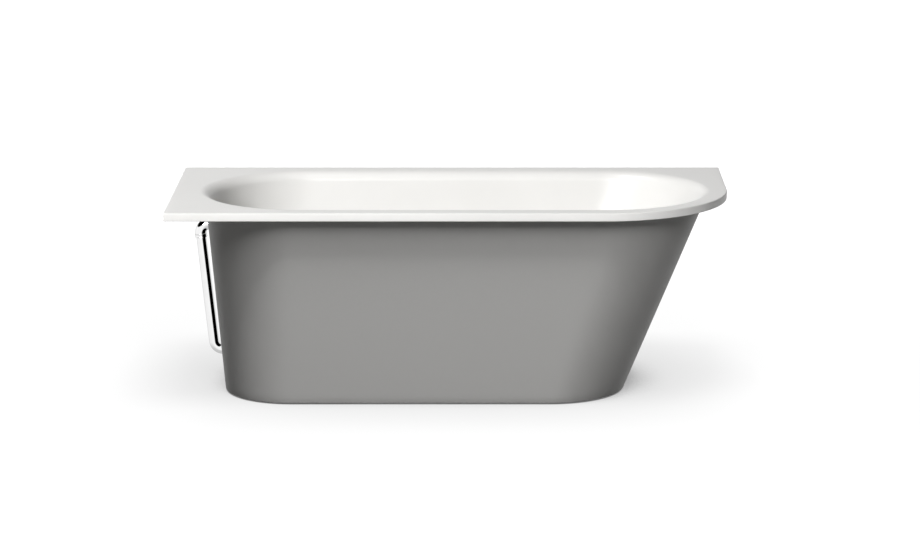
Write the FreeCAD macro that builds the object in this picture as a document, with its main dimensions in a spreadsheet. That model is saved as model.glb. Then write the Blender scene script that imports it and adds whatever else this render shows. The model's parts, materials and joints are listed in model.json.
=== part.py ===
import FreeCAD, Part
import math
import os

import Sketcher
from FreeCAD import Placement, Rotation, Vector

# A double-skinned corner bath with an exposed overflow pipe, in millimetres.
# X runs from the foot end (waste and overflow) to the head end (sloping back), Y from the open
# front to the wall, Z up from the floor. The origin is on the floor under the middle of the rim.

SIZES = {
    # rim and basin, one moulding
    "rim_length": 1700,
    "rim_width": 750,
    "bath_height": 595,
    "rim_thickness": 25,
    "rim_corner_radius": 390,
    "rim_edge_radius": 3,
    "lip_radius": 34,
    "basin_wall": 5,
    "basin_floor_height": 155,
    "basin_foot_inset": 109,
    "basin_head_inset": 73,
    "basin_side_inset": 78.5,
    "basin_foot_share": 0.11,
    "basin_head_share": 0.5,
    "basin_side_share": 0.11,
    "floor_round": 90,
    # outer apron
    "apron_wall": 5,
    "skin_gap": 1,
    "bond_gap": 0.3,
    "floor_gap": 4,
    "apron_foot_share": 0.102,
    "apron_head_share": 0.43,
    "apron_side_inset": 34,
    "apron_side_share": 0.0025,
    "apron_foot_flat": 116,
    "apron_foot_flat_base": 260,
    "apron_head_flat": 96,
    "apron_head_flat_base": 215,
    # overflow through the foot end
    "overflow_drop": 106,
    "hole_clearance": 0.5,
    "seat_radius": 33.5,
    "seat_depth": 0.8,
    "gasket_thickness": 2,
    "gasket_radius": 33,
    "elbow_radius": 18,
    "elbow_bore_radius": 14.5,
    "elbow_bend": 27.5,
    "elbow_drop": 34.5,
    "elbow_flange_radius": 23,
    "elbow_flange_thickness": 4,
    "elbow_socket": 9,
    "collar_depth": 6.5,
    "collar_seal": 2,
    "collar_lip": 3,
    "collar_wall": 1.9,
    "bridge_width": 8,
    "bridge_depth": 6,
    "bridge_bite": 1,
    "rosette_height": 12,
    "rosette_wall": 2.5,
    "rosette_round": 2,
    "rosette_slot_width": 40,
    "rosette_slot_height": 6,
    "overflow_screw_radius": 2.5,
    "overflow_screw_head_radius": 5.5,
    "overflow_screw_head": 3,
    # overflow pipe and slip joints
    "pipe_radius": 16,
    "pipe_wall": 1.5,
    "pipe_bend": 28,
    "pipe_height": 91,
    "slip_clearance": 0.2,
    "socket_depth": 14,
    "neck_wall": 1.6,
    "neck_length": 7,
    "neck_cut_margin": 0.5,
    "thread_clearance": 0.1,
    "nut_depth": 10,
    "nut_lip": 4,
    "nut_edge": 1,
    "hex_nut_wall": 6,
    "seal_length": 4,
    "grommet_wall": 3,
    "grommet_reach": 2.5,
    # waste in the basin floor
    "waste_inset": 385,
    "waste_recess": 2,
    "waste_flange_radius": 36,
    "waste_flange_thickness": 3,
    "waste_seal_thickness": 1,
    "waste_seat_radius": 24,
    "waste_seat_depth": 4,
    "waste_tail_radius": 22,
    "waste_tail_wall": 2.5,
    "waste_tail_length": 36,
    "waste_hub_radius": 8,
    "waste_hub_drop": 17,
    "waste_hub_length": 16,
    "waste_spoke_width": 4,
    "waste_spoke_height": 8,
    "under_gasket_thickness": 3,
    "waste_collar_radius": 39,
    "waste_collar_thickness": 4,
    "waste_body_wall": 6,
    "waste_body_floor": 5,
    "waste_outlet_radius": 17,
    "inlet_length": 62,
    "inlet_shoulder": 33,
    "inlet_bore_radius": 14,
    "tail_pipe_radius": 20,
    "tail_spigot": 24,
    "tail_bead": 3,
    "tail_bead_reach": 1.5,
    "tail_clear_of_nut": 2,
    # plug
    "plug_radius": 32,
    "plug_edge": 3.5,
    "plug_crown": 4,
    "plug_gap": 0.3,
    "plug_seal_radius": 23,
    "plug_seal_height": 4,
    "plug_seal_taper": 4,
    "plug_stem_radius": 4,
    "plug_stem_length": 45,
    "plug_stem_edge": 1,
    "running_clearance": 0.05,
    # support under the basin
    "board_thickness": 18,
    "board_margin": 18,
    "board_hole_radius": 46,
    "leg_from_waste": 120,
    "leg_from_board_end": 115,
    "channel_width": 40,
    "channel_height": 25,
    "channel_wall": 2.5,
    "channel_end_gap": 54.84,
    "foot_from_channel_end": 30,
    "stud_radius": 6,
    "stud_edge": 1,
    "stud_above_nut": 20,
    "stud_hole_clearance": 0.5,
    "pad_radius": 27,
    "pad_edge": 5,
    "pad_top_radius": 13,
    "pad_height": 18,
    "pad_floor": 5,
    "lock_nut_flats": 19,
    "lock_nut_height": 10,
    "screw_from_board_edge": 39.6,
    "screw_radius": 2.5,
    "screw_head_radius": 4.8,
    "screw_head_height": 3,
    "screw_depth": 14,
    # every cut runs this far past the face that it leaves
    "overrun": 20,
}

NEAR = 0.01

doc = FreeCAD.newDocument("corner_bath")
sheet = doc.addObject("Spreadsheet::Sheet", "sizes")
for row, (alias, amount) in enumerate(SIZES.items(), 1):
    sheet.set(f"A{row}", alias.replace("_", " "))
    sheet.set(f"B{row}", str(amount))
    sheet.setAlias(f"B{row}", alias)
doc.recompute()


class Size:
    """A number with the expression that keeps it tied to the sheet."""

    def __init__(self, value, text):
        self.value = value
        self.text = text

    def __add__(self, other):
        other = as_size(other)
        return Size(self.value + other.value, f"({self.text} + {other.text})")

    def __sub__(self, other):
        other = as_size(other)
        return Size(self.value - other.value, f"({self.text} - {other.text})")

    def __mul__(self, other):
        other = as_size(other)
        return Size(self.value * other.value, f"({self.text} * {other.text})")

    def __truediv__(self, other):
        other = as_size(other)
        return Size(self.value / other.value, f"({self.text} / {other.text})")

    def __neg__(self):
        return Size(-self.value, f"(0 - {self.text})")

    def root(self):
        return Size(math.sqrt(self.value), f"sqrt({self.text})")

    def slope_angle(self):
        return Size(math.degrees(math.atan(self.value)), f"atan({self.text})")


def as_size(amount):
    return amount if isinstance(amount, Size) else Size(amount, repr(amount))


class Sheet:
    """The sheet's sizes by name."""

    def __getattr__(self, alias):
        return Size(float(SIZES[alias]), f"sizes.{alias}")


S = Sheet()


# Levels and outlines that several pieces share.

half_length = S.rim_length / 2
half_width = S.rim_width / 2
rim_bottom = S.bath_height - S.rim_thickness
floor_top = S.basin_floor_height
floor_bottom = floor_top - S.basin_wall
board_bottom = floor_bottom - S.board_thickness
web_bottom = board_bottom - S.channel_wall


def basin_limits(height, grow):
    """Foot end, head end and half width of the basin at a height, grown outwards by a wall."""
    drop = S.bath_height - height
    foot = S.basin_foot_inset + drop * S.basin_foot_share - grow - half_length
    head = half_length - S.basin_head_inset - drop * S.basin_head_share + grow
    half = half_width - S.basin_side_inset - drop * S.basin_side_share + grow
    return foot, head, half


# The apron's top edge meets the rim just outside the bowl's wall at both ends.
skins = S.basin_wall + S.skin_gap + S.apron_wall
apron_foot_inset = S.basin_foot_inset + S.rim_thickness * S.basin_foot_share - skins
apron_head_inset = S.basin_head_inset + S.rim_thickness * S.basin_head_share - skins
apron_height = rim_bottom - S.floor_gap


def apron_limits(height, shrink):
    """Foot end, head end, half width and the two corner radii of the apron at a height."""
    drop = rim_bottom - height
    fall = drop / apron_height
    foot = apron_foot_inset + drop * S.apron_foot_share + shrink - half_length
    head = half_length - apron_head_inset - drop * S.apron_head_share - shrink
    half = half_width - S.apron_side_inset - drop * S.apron_side_share - shrink
    foot_flat = S.apron_foot_flat + fall * (S.apron_foot_flat_base - S.apron_foot_flat)
    head_flat = S.apron_head_flat + fall * (S.apron_head_flat_base - S.apron_head_flat)
    return foot, head, half, half - foot_flat / 2, half - head_flat / 2


# The overflow stands square to the leaning foot end, so its pieces share one leaning frame:
# origin on the apron's outer face, +x into the bath, -z down along the face.
lean = S.apron_foot_share
lean_root = (lean * lean + 1).root()
lean_angle = lean.slope_angle()
overflow_z = S.bath_height - S.overflow_drop
overflow_x = apron_foot_inset + (S.overflow_drop - S.rim_thickness) * lean - half_length
apron_inner = S.apron_wall / lean_root
basin_inner = (basin_limits(overflow_z, 0)[0] - overflow_x) / lean_root
seat_face = basin_inner - S.seat_depth
gasket_face = seat_face + S.gasket_thickness
elbow_back = S.gasket_thickness + S.elbow_flange_thickness
pipe_offset = elbow_back + S.elbow_bend
pipe_bore = S.pipe_radius + S.slip_clearance
neck_radius = pipe_bore + S.neck_wall

# The waste stands upright in the basin floor near the foot end.
waste_x = S.waste_inset - half_length
recess_floor = floor_top - S.waste_recess
flange_bottom = recess_floor + S.waste_seal_thickness
flange_top = flange_bottom + S.waste_flange_thickness
collar_top = floor_bottom - S.under_gasket_thickness
chamber_radius = S.waste_tail_radius + S.slip_clearance
body_radius = chamber_radius + S.waste_body_wall
inlet_radius = neck_radius
chamber_bottom = S.pipe_height - inlet_radius
body_bottom = chamber_bottom - S.waste_body_floor
tail_bore = S.tail_pipe_radius + S.slip_clearance
tail_neck_radius = tail_bore + S.neck_wall
outlet_bottom = body_bottom - S.socket_depth
tail_nut_bottom = outlet_bottom - S.seal_length - S.nut_lip
bead_top = tail_nut_bottom - S.tail_clear_of_nut
bead_bottom = bead_top - S.tail_bead
tail_bottom = bead_bottom - S.tail_spigot

# The board covers the flat part of the basin's underside, and the legs stand under the board.
hull_round = S.floor_round + S.basin_wall
hull_foot, hull_head, hull_half = basin_limits(floor_bottom, S.basin_wall)
board_foot = hull_foot + hull_round + S.board_margin
board_head = hull_head - hull_round - S.board_margin
board_half = hull_half - hull_round - S.board_margin
leg_places = {
    "foot": waste_x + S.leg_from_waste,
    "head": board_head - S.leg_from_board_end,
}
channel_lip = board_bottom - S.channel_height
channel_reach = apron_limits(channel_lip, S.apron_wall)[2] - S.channel_end_gap
foot_reach = channel_reach - S.foot_from_channel_end
foot_places = {"front": -foot_reach, "back": foot_reach}
screw_reach = board_half - S.screw_from_board_edge
screw_rows = (-screw_reach, 0, screw_reach)


# Document helpers.

nodes = []


def number(size):
    return size.value if isinstance(size, Size) else size


def node(kind, label):
    """A new sub-part, whose label names its file."""
    made = doc.addObject(kind, label)
    made.Label = label
    nodes.append(made)
    return made


def bind(item, path, size):
    """Tie a property to the sheet, or leave it at zero."""
    if isinstance(size, Size):
        item.setExpression(path, size.text)


def place(item, x=0, y=0, z=0, turn=None):
    """Place a sub-part, turned about the Y axis so that its +x rises by an angle."""
    if turn is not None:
        item.Placement = Placement(Vector(), Rotation(Vector(0, -1, 0), number(turn)))
        bind(item, "Placement.Rotation.Angle", turn)
    for axis, size in zip("xyz", (x, y, z)):
        bind(item, f"Placement.Base.{axis}", size)


def attach(feature, body, role, x=0, y=0, z=0, turn=None):
    """Sit a sketch or primitive on an origin plane of its own body, shifted in that plane's frame."""
    plane = next(item for item in body.Origin.OriginFeatures if item.Role == role)
    feature.AttachmentSupport = [(plane, "")]
    feature.MapMode = "FlatFace"
    if turn is not None:
        feature.AttachmentOffset = Placement(Vector(), Rotation(Vector(-1, 0, 0), turn.value))
        bind(feature, "AttachmentOffset.Rotation.Angle", turn)
    for axis, size in zip("xyz", (x, y, z)):
        bind(feature, f"AttachmentOffset.Base.{axis}", size)


def sketch_on(body, role, name, lift=0):
    sketch = body.newObject("Sketcher::SketchObject", f"{body.Name}_{name}")
    attach(sketch, body, role, z=lift)
    return sketch


def pin(sketch, edge, end, x, y):
    """Hold one point of a sketch at its two coordinates; a plain zero puts it on the axis."""
    for kind, axis, size in (("DistanceX", -2, x), ("DistanceY", -1, y)):
        if isinstance(size, Size):
            index = sketch.addConstraint(Sketcher.Constraint(kind, -1, 1, edge, end, size.value))
            bind(sketch, f"Constraints[{index}]", size)
        else:
            sketch.addConstraint(Sketcher.Constraint("PointOnObject", edge, end, axis))


def hold_radius(sketch, edge, radius):
    index = sketch.addConstraint(Sketcher.Constraint("Radius", edge, radius.value))
    bind(sketch, f"Constraints[{index}]", radius)


def outline(sketch, corners, arcs=None, closed=True):
    """Join corners by lines, or by the arc (centre x, centre y, radius) listed under an edge's number."""
    arcs = arcs or {}
    count = len(corners) if closed else len(corners) - 1
    ends = []
    for index in range(count):
        first = Vector(*map(number, corners[index]))
        last = Vector(*map(number, corners[(index + 1) % len(corners)]))
        if index not in arcs:
            sketch.addGeometry(Part.LineSegment(first, last))
            ends.append((1, 2))
            continue
        centre = Vector(*map(number, arcs[index][:2]))
        forward = (first - centre).cross(last - centre).z > 0
        begin, finish = (first, last) if forward else (last, first)
        angles = [math.atan2(spot.y - centre.y, spot.x - centre.x) for spot in (begin, finish)]
        ring = Part.Circle(centre, Vector(0, 0, 1), arcs[index][2].value)
        sketch.addGeometry(Part.ArcOfCircle(ring, *angles))
        ends.append((1, 2) if forward else (2, 1))
    for index in range(count if closed else count - 1):
        follower = (index + 1) % count
        joint = Sketcher.Constraint("Coincident", index, ends[index][1], follower, ends[follower][0])
        sketch.addConstraint(joint)
    for index in range(count):
        pin(sketch, index, ends[index][0], *corners[index])
    if not closed:
        pin(sketch, count - 1, ends[-1][1], *corners[-1])
    for index, arc in arcs.items():
        hold_radius(sketch, index, arc[2])


def circle(sketch, radius, x=0):
    """A circle round a point of the sketch's own x axis."""
    edge = sketch.addGeometry(Part.Circle(Vector(number(x), 0), Vector(0, 0, 1), radius.value))
    pin(sketch, edge, 3, x, 0)
    hold_radius(sketch, edge, radius)


def pad(body, sketch, length, name="pad", symmetric=False):
    made = body.newObject("PartDesign::Pad", f"{body.Name}_{name}")
    made.Profile = sketch
    made.SideType = "Symmetric" if symmetric else "One side"
    bind(made, "Length", length)
    return made


def revolve(body, corners, axis="V_Axis", arcs=None):
    """Turn a profile on the XZ plane about the plane's own vertical or horizontal axis."""
    sketch = sketch_on(body, "XZ_Plane", "profile")
    outline(sketch, corners, arcs)
    made = body.newObject("PartDesign::Revolution", f"{body.Name}_turned")
    made.Profile = sketch
    made.ReferenceAxis = (sketch, [axis])
    made.Angle = 360
    return made


def ring(label, inner, outer, low, high, axis="V_Axis"):
    """A plain round ring between two levels of its axis."""
    body = node("PartDesign::Body", label)
    corners = [(inner, low), (outer, low), (outer, high), (inner, high)]
    if axis == "H_Axis":
        corners = [(along, across) for across, along in corners]
    revolve(body, corners, axis)
    return body


def cylinder(body, kind, name, role, radius, height, x=0, y=0, z=0, turn=None):
    """An additive or subtractive cylinder that stands on an origin plane's frame."""
    made = body.newObject(f"PartDesign::{kind}Cylinder", f"{body.Name}_{name}")
    attach(made, body, role, x, y, z, turn)
    bind(made, "Radius", radius)
    bind(made, "Height", height)
    return made


def block(body, kind, name, sizes, centre):
    """A box feature with its middle at a point of the body's own frame."""
    made = body.newObject(f"PartDesign::{kind}Box", f"{body.Name}_{name}")
    for path, size in zip(("Length", "Width", "Height"), sizes):
        bind(made, path, size)
    low = [as_size(middle) - size / 2 for middle, size in zip(centre, sizes)]
    attach(made, body, "XY_Plane", *low)
    return made


def loft(body, kind, name, sections):
    made = body.newObject(f"PartDesign::{kind}Loft", f"{body.Name}_{name}")
    made.Profile = sections[0]
    made.Sections = sections[1:]
    made.Ruled = True
    return made


def sweep(body, kind, name, path, radius, start):
    """Carry a circle, drawn square to X at a start, along a path in the XZ plane."""
    section = sketch_on(body, "YZ_Plane", f"{name}_section", start)
    circle(section, radius)
    made = body.newObject(f"PartDesign::{kind}Pipe", f"{body.Name}_{name}")
    made.Profile = section
    made.Spine = path
    return made


def level_edges(shape, heights):
    """Names of the edges that lie level at one of the heights."""
    names = []
    for index, edge in enumerate(shape.Edges, 1):
        first, last = edge.ParameterRange
        spots = [edge.valueAt(first + (last - first) * share).z for share in (0, 0.3, 0.5, 1)]
        if any(all(abs(spot - height.value) < NEAR for spot in spots) for height in heights):
            names.append(f"Edge{index}")
    return names


def fillet(body, name, radius, base, edges):
    made = body.newObject("PartDesign::Fillet", f"{body.Name}_{name}")
    made.Base = (base, edges)
    bind(made, "Radius", radius)
    doc.recompute()
    return made


# Rim and basin: a slab with a tapering bowl hung under it, hollowed by the bathing space.

def stadium(sketch, foot, head, half):
    corners = [
        (foot + half, -half),
        (head - half, -half),
        (head, 0),
        (head - half, half),
        (foot + half, half),
        (foot, 0),
    ]
    head_arc = (head - half, 0, half)
    foot_arc = (foot + half, 0, half)
    outline(sketch, corners, {1: head_arc, 2: head_arc, 4: foot_arc, 5: foot_arc})


def bowl(body, kind, name, top, bottom, grow):
    sections = []
    for part_name, height in (("top", top), ("bottom", bottom)):
        sketch = sketch_on(body, "XY_Plane", f"{name}_{part_name}", height)
        stadium(sketch, *basin_limits(height, grow))
        sections.append(sketch)
    made = loft(body, kind, name, sections)
    doc.recompute()
    return made


def make_basin():
    body = node("PartDesign::Body", "basin")
    rim = sketch_on(body, "XY_Plane", "rim", rim_bottom)
    corner = S.rim_corner_radius
    corners = [
        (-half_length, -half_width),
        (half_length - corner, -half_width),
        (half_length, corner - half_width),
        (half_length, half_width),
        (-half_length, half_width),
    ]
    outline(rim, corners, {1: (half_length - corner, corner - half_width, corner)})
    slab = pad(body, rim, S.rim_thickness, "slab")
    doc.recompute()
    rim_edges = level_edges(slab.Shape, (S.bath_height, rim_bottom))
    fillet(body, "rim_edge", S.rim_edge_radius, slab, rim_edges)

    bowl(body, "Additive", "hull", rim_bottom + S.rim_thickness / 2, floor_bottom, S.basin_wall)
    boss_foot = apron_inner + S.bond_gap
    cylinder(
        body, "Additive", "overflow_boss", "YZ_Plane", S.seat_radius, basin_inner - boss_foot,
        y=overflow_z + boss_foot * lean / lean_root,
        z=overflow_x + boss_foot / lean_root,
        turn=lean_angle,
    )

    space = bowl(body, "Subtractive", "space", S.bath_height, floor_top, as_size(0))
    floor_edges = level_edges(space.Shape, (floor_top,))
    floor = fillet(body, "floor_round", S.floor_round, space, floor_edges)
    hull_edges = level_edges(floor.Shape, (floor_bottom,))
    hull = fillet(body, "hull_round", hull_round, floor, hull_edges)
    foot, head, half = basin_limits(S.bath_height, as_size(0))
    lip_edges = []
    for name in level_edges(hull.Shape, (S.bath_height,)):
        spot = hull.Shape.getElement(name).CenterOfMass
        along = max(foot.value + half.value, min(head.value - half.value, spot.x))
        if math.hypot(spot.x - along, spot.y) < half.value + NEAR:
            lip_edges.append(name)
    fillet(body, "lip", S.lip_radius, hull, lip_edges)

    seat_z = overflow_z + seat_face * lean / lean_root
    seat_x = overflow_x + seat_face / lean_root
    cylinder(
        body, "Subtractive", "overflow_seat", "YZ_Plane", S.seat_radius, S.overrun,
        y=seat_z, z=seat_x, turn=lean_angle,
    )
    cylinder(
        body, "Subtractive", "overflow_hole", "YZ_Plane", S.elbow_radius + S.hole_clearance,
        basin_inner + S.overrun, y=overflow_z, z=overflow_x, turn=lean_angle,
    )
    cylinder(
        body, "Subtractive", "waste_recess", "XY_Plane", S.waste_flange_radius + S.hole_clearance,
        S.overrun, x=waste_x, z=recess_floor,
    )
    cylinder(
        body, "Subtractive", "waste_hole", "XY_Plane", S.waste_tail_radius + S.hole_clearance,
        S.overrun, x=waste_x, z=recess_floor - S.overrun / 2,
    )


# Outer apron: one tapering skin, open at the top and the floor.

def apron_outline(sketch, foot, head, half, foot_round, head_round):
    corners = [
        (foot + foot_round, -half),
        (head - head_round, -half),
        (head, head_round - half),
        (head, half - head_round),
        (head - head_round, half),
        (foot + foot_round, half),
        (foot, half - foot_round),
        (foot, foot_round - half),
    ]
    arcs = {
        1: (head - head_round, head_round - half, head_round),
        3: (head - head_round, half - head_round, head_round),
        5: (foot + foot_round, half - foot_round, foot_round),
        7: (foot + foot_round, foot_round - half, foot_round),
    }
    outline(sketch, corners, arcs)


def make_apron():
    body = node("PartDesign::Body", "outer_apron")
    for kind, past, shrink in (("Additive", 0, 0), ("Subtractive", S.overrun, S.apron_wall)):
        sections = []
        for name, height in (("top", rim_bottom + past), ("base", S.floor_gap - past)):
            sketch = sketch_on(body, "XY_Plane", f"{kind}_{name}", height)
            apron_outline(sketch, *apron_limits(height, as_size(shrink)))
            sections.append(sketch)
        loft(body, kind, f"{kind}_skin", sections)
        doc.recompute()
    hole = S.elbow_radius + S.hole_clearance
    cylinder(
        body, "Subtractive", "overflow_hole", "YZ_Plane", hole, S.overrun * 2,
        y=overflow_z - S.overrun * lean / lean_root,
        z=overflow_x - S.overrun / lean_root,
        turn=lean_angle,
    )
    entry_x = overflow_x + (overflow_z - S.pipe_height) * lean
    cylinder(
        body, "Subtractive", "pipe_hole", "YZ_Plane", pipe_bore + S.grommet_wall + S.thread_clearance,
        S.overrun * 2, y=S.pipe_height, z=entry_x - S.overrun,
    )
    grommet_length = S.apron_wall + S.grommet_reach * 2
    grommet = ring("pipe_grommet", pipe_bore, pipe_bore + S.grommet_wall, 0, grommet_length, "H_Axis")
    place(grommet, entry_x - S.grommet_reach, 0, S.pipe_height)


# Overflow: elbow, rosette and seals in the leaning frame of the foot end.

def in_overflow_frame(item):
    place(item, overflow_x, 0, overflow_z, lean_angle)


def make_elbow():
    body = node("PartDesign::Body", "overflow_elbow")
    in_overflow_frame(body)
    neck_end = -S.elbow_drop
    path = sketch_on(body, "XZ_Plane", "path")
    corners = [
        (gasket_face, 0),
        (-elbow_back, 0),
        (-pipe_offset, -S.elbow_bend),
        (-pipe_offset, neck_end),
    ]
    outline(path, corners, {1: (-elbow_back, -S.elbow_bend, S.elbow_bend)}, closed=False)
    sweep(body, "Additive", "tube", path, S.elbow_radius, gasket_face)
    cylinder(
        body, "Additive", "flange", "YZ_Plane", S.elbow_flange_radius, S.elbow_flange_thickness,
        z=-elbow_back,
    )
    sweep(body, "Subtractive", "bore", path, S.elbow_bore_radius, gasket_face)
    cylinder(
        body, "Subtractive", "socket", "XY_Plane", pipe_bore, S.elbow_socket,
        x=-pipe_offset, z=neck_end,
    )
    neck = sketch_on(body, "XY_Plane", "neck", neck_end)
    for radius in (neck_radius, S.elbow_radius + S.neck_cut_margin):
        circle(neck, radius, -pipe_offset)
    cut = body.newObject("PartDesign::Pocket", "overflow_elbow_neck_cut")
    cut.Profile = neck
    cut.Reversed = True
    bind(cut, "Length", S.neck_length)
    bridge_x = gasket_face - S.bridge_depth
    bridge = (S.bridge_depth, (S.elbow_bore_radius + S.bridge_bite) * 2, S.bridge_width)
    block(body, "Additive", "bridge", bridge, (bridge_x, 0, 0))
    cylinder(
        body, "Subtractive", "screw_hole", "YZ_Plane", S.overflow_screw_radius + S.running_clearance,
        S.bridge_depth + S.overrun, z=bridge_x - S.bridge_depth,
    )


def make_overflow_seals():
    inner = S.elbow_radius + S.hole_clearance
    seat = ring("overflow_gasket_inner", inner, S.gasket_radius, seat_face, gasket_face, "H_Axis")
    in_overflow_frame(seat)
    back = ring(
        "overflow_gasket_outer", inner, S.elbow_flange_radius, -S.gasket_thickness, as_size(0), "H_Axis"
    )
    in_overflow_frame(back)


def make_rosette():
    body = node("PartDesign::Body", "overflow_rosette")
    in_overflow_frame(body)
    front = gasket_face + S.rosette_height
    under = front - S.rosette_wall
    outer = S.gasket_radius
    inner = outer - S.rosette_wall
    hole = S.overflow_screw_radius + S.running_clearance
    turn = S.rosette_round
    corners = [
        (gasket_face, inner),
        (gasket_face, outer),
        (front - turn, outer),
        (front, outer - turn),
        (front, hole),
        (under, hole),
        (under, inner),
    ]
    revolve(body, corners, "H_Axis", {2: (front - turn, outer - turn, turn)})
    slot = (S.rosette_slot_height, S.rosette_slot_width, outer)
    block(body, "Subtractive", "slot", slot, (under - S.rosette_slot_height / 2, 0, -outer))

    screw = node("PartDesign::Body", "overflow_screw")
    in_overflow_frame(screw)
    tip = gasket_face - S.bridge_depth * 2
    corners = [
        (tip, 0),
        (tip, S.overflow_screw_radius),
        (front, S.overflow_screw_radius),
        (front, S.overflow_screw_head_radius),
        (front + S.overflow_screw_head, S.overflow_screw_head_radius - S.overflow_screw_head / 2),
        (front + S.overflow_screw_head, 0),
    ]
    revolve(screw, corners, "H_Axis")


# Slip joints: a nut over a neck squeezes a seal round the pipe that leaves the neck along -z.

def make_slip_joint(label, radius, neck, hexagon):
    """Nut and seal round a pipe, in a frame whose origin is the middle of the neck's end."""
    bore = radius + S.slip_clearance
    nut = node("PartDesign::Body", f"{label}_nut" if hexagon else f"{label}_collar")
    depth = S.nut_depth if hexagon else S.collar_depth
    squeezed = S.seal_length if hexagon else S.collar_seal
    lip = S.nut_lip if hexagon else S.collar_lip
    low = -squeezed - lip
    length = depth + squeezed + lip
    section = sketch_on(nut, "XY_Plane", "section", low)
    if hexagon:
        reach = neck + S.hex_nut_wall
        corners = []
        for step in range(6):
            across = math.sin(math.radians(60 * step))
            along = math.cos(math.radians(60 * step))
            corners.append((reach * along, reach * across if step % 3 else 0))
        outline(section, corners)
    else:
        circle(section, neck + S.collar_wall)
    body = pad(nut, section, length)
    if not hexagon:
        doc.recompute()
        edges = level_edges(body.Shape, (low, depth))
        fillet(nut, "edge", S.nut_edge, body, edges)
    cylinder(
        nut, "Subtractive", "neck_bore", "XY_Plane", neck + S.thread_clearance, length, z=-squeezed
    )
    cylinder(nut, "Subtractive", "pipe_bore", "XY_Plane", bore, length * 2, z=low - length / 2)
    seal = ring(f"{label}_seal", radius + S.running_clearance, neck, -squeezed, as_size(0))
    return nut, seal


def make_pipe():
    """The tube stands off the foot end, then turns level into the bath at the waste's height."""
    body = node("PartDesign::Body", "overflow_pipe")
    in_overflow_frame(body)
    drop = overflow_z - S.pipe_height
    reach = waste_x - S.inlet_shoulder - overflow_x
    corner_z = pipe_offset * lean - drop * lean_root
    tangent = S.pipe_bend * (lean_root - lean)
    top_z = S.elbow_socket - S.elbow_drop
    corners = [
        (-pipe_offset, top_z),
        (-pipe_offset, corner_z + tangent),
        (tangent / lean_root - pipe_offset, corner_z - tangent * lean / lean_root),
        ((reach - drop * lean) / lean_root, -(reach * lean + drop) / lean_root),
    ]
    path = sketch_on(body, "XZ_Plane", "path")
    centre = (S.pipe_bend - pipe_offset, corner_z + tangent, S.pipe_bend)
    outline(path, corners, {1: centre}, closed=False)
    for kind, radius in (("Additive", S.pipe_radius), ("Subtractive", S.pipe_radius - S.pipe_wall)):
        section = sketch_on(body, "XY_Plane", f"{kind}_section", top_z)
        circle(section, radius, -pipe_offset)
        tube = body.newObject(f"PartDesign::{kind}Pipe", f"overflow_pipe_{kind}")
        tube.Profile = section
        tube.Spine = path


def make_slip_joints():
    neck_x = -pipe_offset / lean_root + S.elbow_drop * lean / lean_root
    neck_z = -pipe_offset * lean / lean_root - S.elbow_drop / lean_root
    for piece in make_slip_joint("elbow", S.pipe_radius, neck_radius, hexagon=False):
        place(piece, overflow_x + neck_x, 0, overflow_z + neck_z, lean_angle)
    for piece in make_slip_joint("inlet", S.pipe_radius, inlet_radius, hexagon=True):
        piece.Placement = Placement(Vector(), Rotation(Vector(0, 1, 0), 90))
        place(piece, waste_x - S.inlet_length, 0, S.pipe_height)
    for piece in make_slip_joint("tail", S.tail_pipe_radius, tail_neck_radius, hexagon=True):
        place(piece, waste_x, 0, outlet_bottom)


# Waste: flange, gaskets, body and tail pipe on one upright axis.

def make_waste_flange():
    body = node("PartDesign::Body", "waste_flange")
    place(body, waste_x)
    bore = S.waste_tail_radius - S.waste_tail_wall
    tail_end = flange_bottom - S.waste_tail_length
    half_edge = S.waste_flange_thickness / 2
    corners = [
        (bore, tail_end),
        (S.waste_tail_radius, tail_end),
        (S.waste_tail_radius, flange_bottom),
        (S.waste_flange_radius, flange_bottom),
        (S.waste_flange_radius, flange_top - half_edge),
        (S.waste_flange_radius - half_edge, flange_top),
        (S.waste_seat_radius, flange_top),
        (bore, flange_top - S.waste_seat_depth),
    ]
    revolve(body, corners, arcs={4: (S.waste_flange_radius - half_edge, flange_top - half_edge, half_edge)})
    hub_top = flange_top - S.waste_hub_drop
    hub_middle = hub_top - S.waste_hub_length / 2
    span = S.waste_tail_radius * 2 - S.waste_tail_wall
    width = S.waste_spoke_width
    for name, along, across in (("spoke_x", span, width), ("spoke_y", width, span)):
        block(body, "Additive", name, (along, across, S.waste_spoke_height), (0, 0, hub_middle))
    cylinder(
        body, "Additive", "hub", "XY_Plane", S.waste_hub_radius, S.waste_hub_length,
        z=hub_top - S.waste_hub_length,
    )
    cylinder(
        body, "Subtractive", "stem_bore", "XY_Plane", S.plug_stem_radius + S.running_clearance,
        S.waste_hub_length * 2, z=hub_middle - S.waste_hub_length,
    )


def make_waste_body():
    body = node("PartDesign::Body", "waste_body")
    place(body, waste_x)
    collar_bottom = collar_top - S.waste_collar_thickness
    corners = [
        (chamber_radius, collar_top),
        (chamber_radius, chamber_bottom),
        (S.waste_outlet_radius, chamber_bottom),
        (S.waste_outlet_radius, body_bottom),
        (tail_bore, body_bottom),
        (tail_bore, outlet_bottom),
        (tail_neck_radius, outlet_bottom),
        (tail_neck_radius, body_bottom),
        (body_radius, body_bottom),
        (body_radius, collar_bottom),
        (S.waste_collar_radius, collar_bottom),
        (S.waste_collar_radius, collar_top),
    ]
    revolve(body, corners)
    inlet_run = S.inlet_length - chamber_radius
    cylinder(
        body, "Additive", "inlet", "YZ_Plane", inlet_radius, inlet_run, y=S.pipe_height, z=-S.inlet_length
    )
    cylinder(
        body, "Subtractive", "inlet_bore", "YZ_Plane", S.inlet_bore_radius, S.inlet_length,
        y=S.pipe_height, z=-S.inlet_length,
    )
    cylinder(
        body, "Subtractive", "inlet_socket", "YZ_Plane", pipe_bore, S.inlet_length - S.inlet_shoulder,
        y=S.pipe_height, z=-S.inlet_length,
    )


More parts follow.
